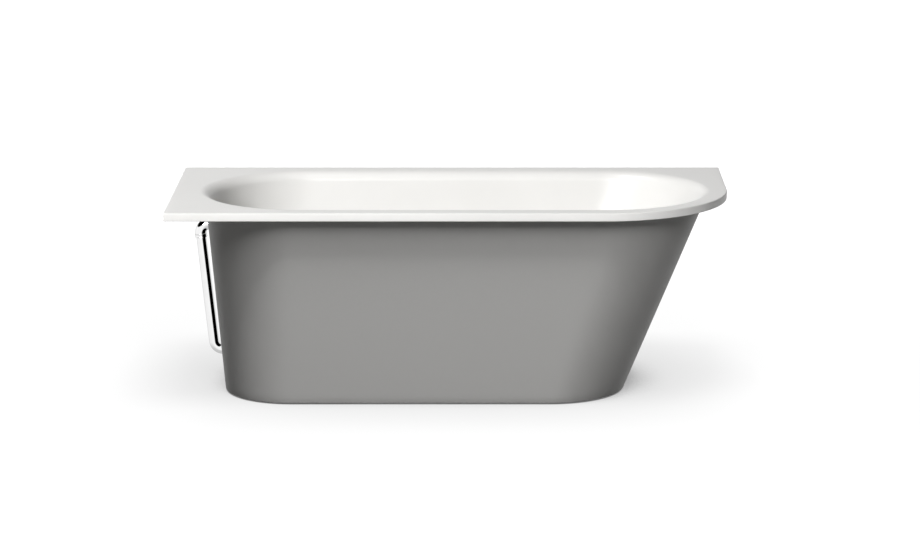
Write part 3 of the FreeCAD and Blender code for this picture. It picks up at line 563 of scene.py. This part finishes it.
flange_back = ELBOW_IN + GASKET
elbow_run = flange_back + FLANGE
bend_end = elbow_run + ELBOW_BEND * quarter
elbow_end = bend_end + NECK_LENGTH
socket_end = elbow_end - SOCKET_DEPTH
bend_rows = np.linspace(elbow_run, bend_end, ELBOW_BEND_ROWS)
flange_profile = rounded_steps([
    (0, ELBOW_RADIUS), (flange_back, ELBOW_RADIUS), (flange_back, FLANGE_RADIUS), (elbow_run, FLANGE_RADIUS),
    (elbow_run, ELBOW_RADIUS), (elbow_run + FLANGE_FOOT, ELBOW_RADIUS)], FLANGE_ROUND)
bend_profile = [(length, ELBOW_RADIUS) for length in bend_rows[ROWS_IN_FOOT:]]
neck_profile = [(bend_end, NECK_RADIUS), (elbow_end, NECK_RADIUS)]
socket_profile = [(elbow_end, SOCKET_RADIUS), (socket_end, SOCKET_RADIUS)]
bore_rows = bend_rows[bend_rows < socket_end - BORE_MARGIN][::-2]
bore_profile = [(length, ELBOW_BORE) for length in (socket_end - SHOULDER, *bore_rows, 0)]
elbow_profile = np.concatenate([flange_profile, bend_profile, neck_profile, socket_profile, bore_profile])
elbow_start = on_face(ELBOW_IN, 0)
elbow_rows = bent_tube(elbow_start, -INTO, DOWN, elbow_run, ELBOW_BEND, quarter, *elbow_profile.T)
make_piece("overflow_elbow_tube", elbow_rows, "tub", "overflow_elbow")

# %% [markdown]
# ## Turned pieces
#
# The collar and the plug are turned: a profile of (radius, place along the axis) is carried round an axis.
# Blender's Spin could do it, but here the profile's sizes stay in view. Small rounded corners in the profile
# catch the light the way polished metal does. The overflow rosette with its inlet and the waste flange with
# its spokes already have their shapes in the engineering model, so those two only get a finish.

# %% Collar
PROFILE_ROUND = 0.0009
COLLAR_BORE, COLLAR_INSIDE = 0.0162, 0.0179
COLLAR_RIB, COLLAR_WAIST = 0.0197, 0.0192
COLLAR_LOW, COLLAR_SEAT, COLLAR_TOP = -0.005, -0.002, 0.0065
RIB_HEIGHT, RIB_SLANT = 0.0015, 0.0006


def turned(start, axis, profile, sides):
    """Rows of a turned piece: start + place x axis + radius (cos a u + sin a v), where u and v are square to
    the axis."""
    axis = np.asarray(axis, float)
    u = np.cross([0.0, 1.0, 0.0], axis)
    v = np.cross(axis, u)
    around = np.linspace(0, 2 * np.pi, sides, endpoint=False)
    circle = np.cos(around)[:, None] * u + np.sin(around)[:, None] * v
    profile = np.asarray(profile, float)
    return np.asarray(start) + profile[:, 1, None, None] * axis + profile[:, 0, None, None] * circle


def upright(place):
    """A place or direction (x, z) of the bath's middle plane as (x, y, z)."""
    return np.array([place[0], 0.0, place[1]])


low_rib = COLLAR_LOW + RIB_HEIGHT
top_rib = COLLAR_TOP - RIB_HEIGHT
collar_profile = rounded_steps([
    (COLLAR_BORE, COLLAR_LOW), (COLLAR_RIB, COLLAR_LOW), (COLLAR_RIB, low_rib),
    (COLLAR_WAIST, low_rib + RIB_SLANT), (COLLAR_WAIST, top_rib - RIB_SLANT),
    (COLLAR_RIB, top_rib), (COLLAR_RIB, COLLAR_TOP), (COLLAR_INSIDE, COLLAR_TOP),
    (COLLAR_INSIDE, COLLAR_SEAT), (COLLAR_BORE, COLLAR_SEAT)], PROFILE_ROUND)
neck_end = upright(on_face(pipe_axis, -neck_drop))
collar_rows = turned(neck_end, upright(-DOWN), collar_profile, ROUND_STEPS)
make_piece("slip_collar", collar_rows, "tub", "elbow_collar")

# %% Plug
PLUG_RADIUS, PLUG_LOW = 0.032, 0.1573
PLUG_EDGE, PLUG_CROWN = 0.0035, 0.004
UNDER_EDGE, EDGE_DROP = 0.002, 0.0003
CROWN_START, CROWN_RISE = 0.0008, 0.0002
CROWN_ROWS, PLUG_STEPS = 14, 96

shoulder = PLUG_LOW + PLUG_EDGE
plug_edge = rounded_steps([
    (PLUG_RADIUS - UNDER_EDGE, PLUG_LOW), (PLUG_RADIUS, PLUG_LOW), (PLUG_RADIUS, shoulder - EDGE_DROP),
    (PLUG_RADIUS - CROWN_START, shoulder + CROWN_RISE)], PROFILE_ROUND)
from_middle = 1 - np.linspace(0, 1, CROWN_ROWS)[1:]
plug_top = np.column_stack([PLUG_RADIUS * from_middle, shoulder + PLUG_CROWN * (1 - from_middle ** 2)])
plug_profile = np.concatenate([[(0, PLUG_LOW)], plug_edge, plug_top])
plug_rows = turned((WASTE[0], 0.0, 0.0), (0, 0, 1), plug_profile, PLUG_STEPS)
make_piece("plug_dome", plug_rows, "plug", "plug_cap", join_rows=False)

# %% [markdown]
# ## Finishes
#
# Real surfaces are never one flat colour. Each finish starts from Object coordinates, so a pattern keeps its
# real size in metres. It mixes close colours and adds a fine bump, and all but polished chrome have a
# roughness that varies too. Painted images could do this, but they need seams, and noise needs none. The
# noise scale says how many patches fit in a metre.

# %% Finish helpers
PATTERN_LOW, PATTERN_HIGH = 0.3, 0.7
PATCH_DETAIL, GRAIN_DETAIL = 4.0, 2.0


def finish(name):
    """A new material with its shader and an Object coordinate to hang patterns on."""
    material = bpy.data.materials.new(name)
    material.use_nodes = True
    tree = material.node_tree
    place = tree.nodes.new("ShaderNodeTexCoord").outputs["Object"]
    return material, tree, tree.nodes["Principled BSDF"], place


def noise(tree, place, scale, detail):
    """Soft patches; scale is patches a metre."""
    texture = tree.nodes.new("ShaderNodeTexNoise")
    texture.inputs["Scale"].default_value = scale
    texture.inputs["Detail"].default_value = detail
    tree.links.new(place, texture.inputs["Vector"])
    return texture.outputs["Fac"]


def shades(tree, value, stops):
    """A colour ramp through (place, colour) stops."""
    ramp = tree.nodes.new("ShaderNodeValToRGB")
    for index, (at, colour) in enumerate(stops):
        stop = ramp.color_ramp.elements[index] if index < 2 else ramp.color_ramp.elements.new(at)
        stop.position = at
        stop.color = (*colour, 1)
    tree.links.new(value, ramp.inputs["Fac"])
    return ramp.outputs["Color"]


def map_range(tree, value, inside, outside, interpolation):
    """A value between two limits, moved to two other limits."""
    node = tree.nodes.new("ShaderNodeMapRange")
    node.interpolation_type = interpolation
    for socket, amount in zip(("From Min", "From Max", "To Min", "To Max"), (*inside, *outside)):
        node.inputs[socket].default_value = amount
    tree.links.new(value, node.inputs["Value"])
    return node.outputs["Result"]


def spread(tree, value, rough):
    """The middle range of a pattern, moved evenly to a range of roughness."""
    return map_range(tree, value, (PATTERN_LOW, PATTERN_HIGH), rough, "LINEAR")


def relief(tree, shader, value, depth, strength):
    """Fine bumps of a depth in metres."""
    bump = tree.nodes.new("ShaderNodeBump")
    bump.inputs["Distance"].default_value = depth
    bump.inputs["Strength"].default_value = strength
    tree.links.new(value, bump.inputs["Height"])
    tree.links.new(bump.outputs["Normal"], shader.inputs["Normal"])


print("patterns are read from", PATTERN_LOW, "to", PATTERN_HIGH)

# %% Grained finishes
def grained(name, dark, light, patch, rough, grain, depth, strength, metal=0.0):
    """Two close colours in patches, roughness that drifts with them, and a fine grain in relief.
    A polished face has no roughness at all, so there the shader's own socket takes the number."""
    material, tree, shader, place = finish(name)
    patches = noise(tree, place, patch, PATCH_DETAIL)
    colour = shades(tree, patches, [(PATTERN_LOW, dark), (PATTERN_HIGH, light)])
    tree.links.new(colour, shader.inputs["Base Color"])
    if rough is None:
        shader.inputs["Roughness"].default_value = 0.0
    else:
        tree.links.new(spread(tree, patches, rough), shader.inputs["Roughness"])
    relief(tree, shader, noise(tree, place, grain, GRAIN_DETAIL), depth, strength)
    shader.inputs["Metallic"].default_value = metal
    return material


finishes = {
    "white_acrylic": grained(
        "white_acrylic", (0.835, 0.828, 0.808), (0.865, 0.858, 0.838),
        patch=3, rough=(0.30, 0.36), grain=220, depth=0.0002, strength=0.05),
    "grey_satin": grained(
        "grey_satin", (0.36, 0.356, 0.348), (0.39, 0.386, 0.378),
        patch=900, rough=(0.46, 0.52), grain=1400, depth=0.0001, strength=0.15, metal=0.45),
    "chrome": grained(
        "chrome", (0.90, 0.90, 0.90), (0.95, 0.95, 0.95),
        patch=40, rough=None, grain=60, depth=0.0002, strength=0.02, metal=1.0),
    "brass": grained(
        "brass", (0.58, 0.41, 0.17), (0.68, 0.50, 0.23),
        patch=90, rough=(0.24, 0.36), grain=700, depth=0.0001, strength=0.1, metal=1.0),
    "black_rubber": grained(
        "black_rubber", (0.018, 0.018, 0.018), (0.035, 0.035, 0.034),
        patch=160, rough=(0.6, 0.75), grain=1500, depth=0.0001, strength=0.3),
    "black_plastic": grained(
        "black_plastic", (0.022, 0.022, 0.023), (0.04, 0.04, 0.042),
        patch=120, rough=(0.42, 0.55), grain=1800, depth=0.0001, strength=0.3),
}
print("grained finishes:", ", ".join(finishes))

# %% [markdown]
# Zinc on steel shows crystals, so its colour comes from cells rather than soft patches. The board is pressed
# from wood chips: cells again, squeezed flat, each with its own brown.

# %% Crystals and chips
CELL_STRENGTH = 0.3


def cells(tree, place, scale, stretch):
    """A random value for each cell of a pattern."""
    mapping = tree.nodes.new("ShaderNodeMapping")
    mapping.inputs["Scale"].default_value = stretch
    tree.links.new(place, mapping.inputs["Vector"])
    texture = tree.nodes.new("ShaderNodeTexVoronoi")
    texture.inputs["Scale"].default_value = scale
    tree.links.new(mapping.outputs["Vector"], texture.inputs["Vector"])
    split = tree.nodes.new("ShaderNodeSeparateColor")
    tree.links.new(texture.outputs["Color"], split.inputs["Color"])
    return split.outputs["Red"]


def celled(name, stops, scale, stretch, rough, depth, metal):
    """One shade for each cell, with the same cells in the roughness and the relief."""
    material, tree, shader, place = finish(name)
    patches = cells(tree, place, scale, stretch)
    tree.links.new(shades(tree, patches, stops), shader.inputs["Base Color"])
    tree.links.new(spread(tree, patches, rough), shader.inputs["Roughness"])
    relief(tree, shader, patches, depth, CELL_STRENGTH)
    shader.inputs["Metallic"].default_value = metal
    return material


finishes["zinc_steel"] = celled(
    "zinc_steel", [(0.0, (0.42, 0.43, 0.45)), (1.0, (0.66, 0.67, 0.69))],
    scale=140, stretch=(1, 1, 1), rough=(0.28, 0.42), depth=0.00005, metal=1.0)
finishes["board"] = celled(
    "board", [(0.0, (0.33, 0.20, 0.10)), (0.45, (0.50, 0.33, 0.17)), (1.0, (0.66, 0.47, 0.27))],
    scale=160, stretch=(1, 0.6, 1.8), rough=(0.6, 0.8), depth=0.0003, metal=0.0)

dressed = [item for item in bpy.data.objects if item.type == "MESH" and not item.hide_render]
for item in dressed:
    item.data.materials.clear()
    item.data.materials.append(finishes[item.get("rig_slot") or slot_of[item["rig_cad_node"]]])
print(len(dressed), "pieces have a finish")

# %% [markdown]
# ## Floor
#
# The picture is a studio cut-out: white all round, with a soft shadow at the foot of the bath. Lamps strong
# enough to whiten plain paper would put too much light on the bath. So the floor is a sheet that glows white
# for the camera only. The glow is turned down by ambient occlusion where the bath stands close: a painted
# shadow, added to the faint real shadow that the lamps cast. The rest reads as paper.

# %% Node helpers
def remap(tree, value, inside, outside):
    """A value between two limits, moved smoothly to two other limits."""
    return map_range(tree, value, inside, outside, "SMOOTHSTEP")


def combine(tree, operation, first, last):
    """One sum, difference, product or larger value of two sockets or numbers."""
    node = tree.nodes.new("ShaderNodeMath")
    node.operation = operation
    for socket, value in zip(node.inputs, (first, last)):
        if isinstance(value, (int, float)):
            socket.default_value = value
        else:
            tree.links.new(value, socket)
    return node.outputs["Value"]


print("smooth ramps and sums are ready for the floor and the room")

# %% Floor
SPAN = 30.0
PAINTED_SHADOW_REACH = 0.40
# Glow for each ambient occlusion value: less glow near the bath paints a shadow on the floor.
PAINTED_SHADOW_GLOW = [(0.0, 0.0), (1.0, 0.90), (0.30, 0.25), (0.45, 0.62), (0.55, 0.75), (0.73, 0.80)]
FAR_FROM_TO, FAR_GLOW = (1.2, 3.0), (0.0, 0.2)
PAPER_FOR_CAMERA, PAPER_FOR_BATH = 0.03, 0.14
PAPER_ROUGHNESS = 0.9

floor_corners = [(-SPAN, -SPAN, 0), (SPAN, -SPAN, 0), (SPAN, SPAN, 0), (-SPAN, SPAN, 0)]
floor_mesh = bpy.data.meshes.new("studio_floor")
floor_mesh.from_pydata(floor_corners, [], [(0, 1, 2, 3)])
floor = bpy.data.objects.new("studio_floor", floor_mesh)
scene.collection.objects.link(floor)
floor.visible_glossy = False

paper, tree, sheet, place = finish("paper")
sheet.inputs["Roughness"].default_value = PAPER_ROUGHNESS
sheet.inputs["Specular IOR Level"].default_value = 0.0
sheet.inputs["Emission Color"].default_value = (1, 1, 1, 1)
by_camera = tree.nodes.new("ShaderNodeLightPath").outputs["Is Camera Ray"]
# Painted shadow: the floor's glow for the camera is dimmed by ambient occlusion near the bath.
nearby = tree.nodes.new("ShaderNodeAmbientOcclusion")
nearby.inputs["Distance"].default_value = PAINTED_SHADOW_REACH
painted_floor_shadow = shades(tree, nearby.outputs["AO"], [(at, (glow, glow, glow)) for at, glow in PAINTED_SHADOW_GLOW])
away = tree.nodes.new("ShaderNodeVectorMath")
away.operation = "LENGTH"
tree.links.new(place, away.inputs[0])
far = remap(tree, away.outputs["Value"], FAR_FROM_TO, FAR_GLOW)
glow = combine(tree, "MULTIPLY", combine(tree, "ADD", painted_floor_shadow, far), by_camera)
tree.links.new(glow, sheet.inputs["Emission Strength"])
pale = map_range(tree, by_camera, (0, 1), (PAPER_FOR_BATH, PAPER_FOR_CAMERA), "LINEAR")
tree.links.new(pale, sheet.inputs["Base Color"])
floor_mesh.materials.append(paper)
print("floor reaches", SPAN, "m each way")

# %% [markdown]
# ## Light
#
# Broad lamps give soft edges to every shade. There are six of them in two groups, and each lamp is linked to
# the pieces that it lights: three for the grey skin and the floor, three for every other piece. In the
# picture the skin is lit from above, while the white is lit low from the left, and one set of lamps didn't
# give both. The lamp behind the white stays out of reflections. Of the pieces, only white and chrome show in
# them, so that the stripe on the pipe is black and not grey.

# %% Light
AIM = Vector((0, 0, 0.4))
MIRRORED_FINISHES = ("white_acrylic", "chrome")


def soft_light(name, receivers, place, size, power, gloss=True):
    """A broad lamp at a place, turned to the bath's middle; it lights one group, with or without a gloss."""
    data = bpy.data.lights.new(name, "AREA")
    data.shape = "RECTANGLE"
    data.size, data.size_y = size
    data.energy = power
    lamp = bpy.data.objects.new(name, data)
    lamp.location = place
    lamp.rotation_euler = (AIM - Vector(place)).to_track_quat("-Z", "Y").to_euler()
    lamp.visible_camera = False
    lamp.visible_glossy = gloss
    scene.collection.objects.link(lamp)
    lamp.light_linking.receiver_collection = receivers


def receivers_of(name, items):
    """A collection that a lamp can be linked to, so that it lights these pieces alone."""
    group = bpy.data.collections.new(name)
    for item in items:
        group.objects.link(item)
    return group


for item in dressed:
    item.visible_glossy = item.data.materials[0].name in MIRRORED_FINISHES
skin = receivers_of("skin_and_floor", [apron, floor])
white = receivers_of("white_and_metal", [item for item in dressed if item != apron])
soft_light("skin_top", skin, place=(0.0, -1.22, 7.29), size=(2.5, 2.5), power=1370)
soft_light("skin_front", skin, place=(0.86, -4.03, 6.06), size=(1.6, 5.5), power=760)
soft_light("skin_behind", skin, place=(-1.10, 6.24, 3.36), size=(1.6, 1.6), power=400)
soft_light("basin_high", white, place=(-3.45, -2.89, 8.19), size=(2.2, 2.2), power=410)
soft_light("basin_low", white, place=(-3.54, -9.71, 4.16), size=(4.0, 2.2), power=860)
soft_light("basin_behind", white, place=(-2.76, 10.31, 3.06), size=(4.0, 2.2), power=400, gloss=False)

# %% [markdown]
# The room is drawn for each kind of ray. The camera sees plain white. Polished chrome sees white walls, a
# little grey at the back and towards the floor, and two dark flags: one on the right, which gives the pipe
# its black stripe, and one high on the left, which darkens the elbow's top. Satin faces see a dark room with
# a bright back wall, so only their grazing edges brighten. Diffuse faces get a little fill, most of it from
# the back, where the front lamps fail.

# %% Room helpers
world = bpy.data.worlds.new("studio")
scene.world = world
world.use_nodes = True
tree = world.node_tree
tree.nodes.clear()


def both(first, last):
    """The product of two values, so that each dims the other."""
    return combine(tree, "MULTIPLY", first, last)


def without(share):
    """What is left of 1 when a share is taken away."""
    return combine(tree, "SUBTRACT", 1.0, share)


def choose(first, last, switch):
    """The first value where the switch is 0, the last where it is 1."""
    return combine(tree, "ADD", both(first, without(switch)), both(last, switch))


print("room starts with", len(tree.nodes), "nodes")

# %% Room
ray = tree.nodes.new("ShaderNodeLightPath").outputs
direction = tree.nodes.new("ShaderNodeTexCoord")
split = tree.nodes.new("ShaderNodeSeparateXYZ")
tree.links.new(direction.outputs["Generated"], split.inputs["Vector"])
to_right, to_back, to_top = (split.outputs[axis] for axis in "XYZ")

right_flag = both(remap(tree, to_right, (0.30, 0.42), (0, 1)), remap(tree, to_back, (0.2, 0.45), (1, 0)))
high_flag = both(remap(tree, to_top, (0.22, 0.32), (0, 1)), remap(tree, to_right, (-0.5, -0.4), (1, 0)))
flags = combine(tree, "MAXIMUM", right_flag, high_flag)
grey_walls = both(remap(tree, to_back, (0.1, 0.8), (1, 0.8)), remap(tree, to_top, (-0.8, -0.15), (0.6, 1)))
chrome_room = both(without(flags), grey_walls)
satin_room = remap(tree, to_back, (0.4, 0.85), (0.02, 0.75))
fill_room = both(remap(tree, to_back, (0.1, 0.8), (0.05, 0.6)), remap(tree, to_top, (0.0, 0.35), (1, 0.3)))

mirrored = combine(tree, "MAXIMUM", ray["Is Glossy Ray"], ray["Is Transmission Ray"])
room = choose(fill_room, choose(satin_room, chrome_room, ray["Is Singular Ray"]), mirrored)
backdrop = tree.nodes.new("ShaderNodeBackground")
backdrop.inputs["Color"].default_value = (1, 1, 1, 1)
tree.links.new(choose(room, 1.0, ray["Is Camera Ray"]), backdrop.inputs["Strength"])
output = tree.nodes.new("ShaderNodeOutputWorld")
tree.links.new(backdrop.outputs["Background"], output.inputs["Surface"])
scene.view_settings.view_transform = "Standard"
print("room has", len(tree.nodes), "nodes")
